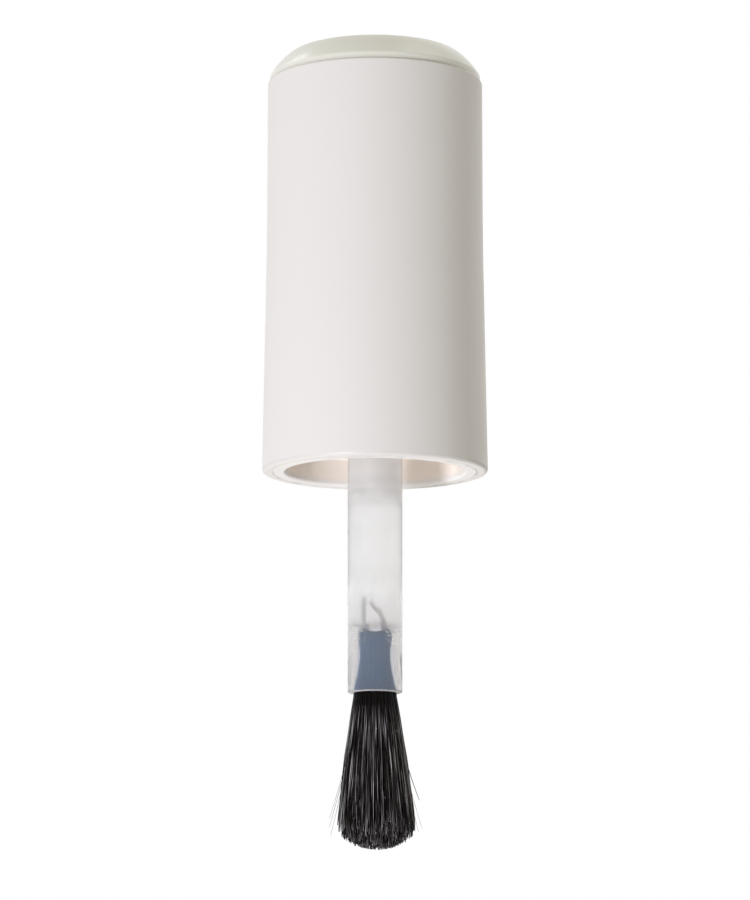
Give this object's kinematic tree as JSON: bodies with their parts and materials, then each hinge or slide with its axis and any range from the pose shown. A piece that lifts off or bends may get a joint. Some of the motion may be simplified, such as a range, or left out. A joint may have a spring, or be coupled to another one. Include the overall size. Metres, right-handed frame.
{
  "type": "nail brush cap",
  "caption": "White screw cap of a small varnish or nail glue bottle, with a frosted stem and a flared tuft of black bristles below its mouth.",
  "frame": {"origin": "centre of the cap's mouth, in the plane of its rim", "axes": "+Z along the cap's axis to its closed end, so the brush hangs towards -Z; X is the direction in which the tuft flexes"},
  "size_m": [0.017, 0.017, 0.0606],
  "materials": {
    "shell_white": "satin",
    "plug_white": "satin",
    "liner_white": "matte",
    "washer_foam": "matte",
    "stem_translucent": "satin",
    "anchor_steel": "satin",
    "bristle_black": "gloss"
  },
  "bodies": {
    "applicator": {"outer_shell": "shell_white", "end_plug": "plug_white", "inner_cap": "liner_white", "seal_washer": "washer_foam", "brush_stem": "stem_translucent", "anchor_wire": "anchor_steel", "bristle_knot": "bristle_black"},
    "tuft": {"bristle_tuft": "bristle_black", "stray_bristles": "bristle_black"}
  },
  "joints": [
    {"name": "bristle_flex", "type": "hinge", "parent": "applicator", "child": "tuft", "pos_m": [0, 0, -0.0166], "axis": [0, 1, 0], "range_deg": [-25, 25], "stiffness_Nm_per_rad": 0.003}
  ]
}
